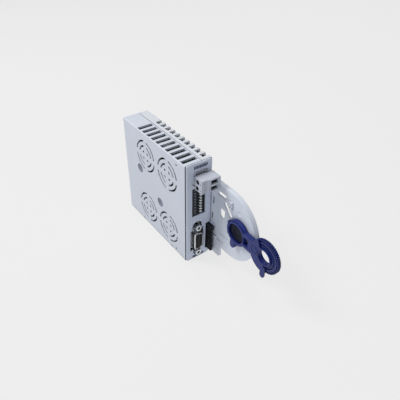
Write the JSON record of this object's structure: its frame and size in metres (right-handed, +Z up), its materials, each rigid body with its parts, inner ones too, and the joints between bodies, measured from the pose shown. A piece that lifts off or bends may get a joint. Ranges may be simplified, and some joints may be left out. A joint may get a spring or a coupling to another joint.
{
  "type": "servo drive communication module",
  "caption": "Slim slide-in communication module of a servo drive: vented housing, terminal plug, DIP switch, D-sub port, half-round side tongue and blue lever with knurled wheel.",
  "frame": {"origin": "centre of the housing's underside", "axes": "+Z up; -Y out of the front panel; +X to the right seen from the front, towards the side plate"},
  "size_m": [0.0269, 0.1642, 0.089],
  "materials": {
    "housing_left": "fine moulded texture",
    "housing_right": "fine moulded texture",
    "panel": "fine moulded texture",
    "plate": "satin moulded plastic",
    "terminal_grey": "satin moulded plastic",
    "connector_black": "matt moulded plastic",
    "slider_white": "satin",
    "lever_blue": "satin moulded plastic",
    "pivot_black": "matt",
    "board_green": "solder mask",
    "chip_black": "matt",
    "steel": "zinc plated",
    "nickel": "nickel plated",
    "gold": "gold flash",
    "can_aluminium": "sleeved can",
    "ceramic": "ceramic body"
  },
  "bodies": {
    "module": {"left_shell": "housing_left", "right_shell": "housing_right", "front_panel": "panel", "shell_screws": "steel", "terminal_header": "terminal_grey", "header_pins": "nickel", "dip_body": "connector_black", "dsub_body": "connector_black", "dsub_shell": "nickel", "dsub_insert": "connector_black", "dsub_contacts": "gold", "dsub_jackscrews": "nickel", "edge_connector": "connector_black", "edge_contacts": "gold", "side_plate": "plate", "plate_screws": "steel", "pivot_bolt": "pivot_black", "pivot_nut": "steel", "main_board": "board_green", "front_board": "board_green", "board_screws": "steel", "controller_chip": "chip_black", "bus_chips": "chip_black", "passive_parts": "ceramic", "converter_module": "chip_black", "filter_capacitors": "can_aluminium", "coupling_transformer": "chip_black", "rear_connector": "connector_black", "rear_contacts": "gold"},
    "plug": {"plug_body": "terminal_grey", "plug_clamp_cages": "nickel", "plug_clamp_screws": "steel", "plug_contacts": "nickel"},
    "lever": {"lever_arm": "lever_blue", "wheel_clip": "steel"},
    "wheel": {"thumb_wheel": "lever_blue"},
    "switch_1": {"dip_slider_1": "slider_white"},
    "switch_2": {"dip_slider_2": "slider_white"},
    "switch_3": {"dip_slider_3": "slider_white"},
    "switch_4": {"dip_slider_4": "slider_white"},
    "switch_5": {"dip_slider_5": "slider_white"},
    "switch_6": {"dip_slider_6": "slider_white"},
    "switch_7": {"dip_slider_7": "slider_white"},
    "switch_8": {"dip_slider_8": "slider_white"},
    "switch_9": {"dip_slider_9": "slider_white"}
  },
  "joints": [
    {"name": "plug_pull", "type": "slide", "parent": "module", "child": "plug", "axis": [0, -1, 0], "range_m": [0, 0.0095]},
    {"name": "lever_swing", "type": "hinge", "parent": "module", "child": "lever", "pos_m": [0.009, -0.078, 0.0449], "axis": [-1, 0, 0], "range_deg": [0, 80]},
    {"name": "wheel_turn", "type": "hinge", "parent": "lever", "child": "wheel", "pos_m": [0.0095, -0.1068, 0.0449], "axis": [-1, 0, 0], "continuous": true},
    {"name": "switch_1_slide", "type": "slide", "parent": "module", "child": "switch_1", "axis": [-1, 0, 0], "range_m": [0, 0.0019]},
    {"name": "switch_2_slide", "type": "slide", "parent": "module", "child": "switch_2", "axis": [-1, 0, 0], "range_m": [0, 0.0019]},
    {"name": "switch_3_slide", "type": "slide", "parent": "module", "child": "switch_3", "axis": [-1, 0, 0], "range_m": [0, 0.0019]},
    {"name": "switch_4_slide", "type": "slide", "parent": "module", "child": "switch_4", "axis": [-1, 0, 0], "range_m": [0, 0.0019]},
    {"name": "switch_5_slide", "type": "slide", "parent": "module", "child": "switch_5", "axis": [-1, 0, 0], "range_m": [0, 0.0019]},
    {"name": "switch_6_slide", "type": "slide", "parent": "module", "child": "switch_6", "axis": [-1, 0, 0], "range_m": [0, 0.0019]},
    {"name": "switch_7_slide", "type": "slide", "parent": "module", "child": "switch_7", "axis": [-1, 0, 0], "range_m": [0, 0.0019]},
    {"name": "switch_8_slide", "type": "slide", "parent": "module", "child": "switch_8", "axis": [-1, 0, 0], "range_m": [0, 0.0019]},
    {"name": "switch_9_slide", "type": "slide", "parent": "module", "child": "switch_9", "axis": [-1, 0, 0], "range_m": [0, 0.0019]}
  ]
}
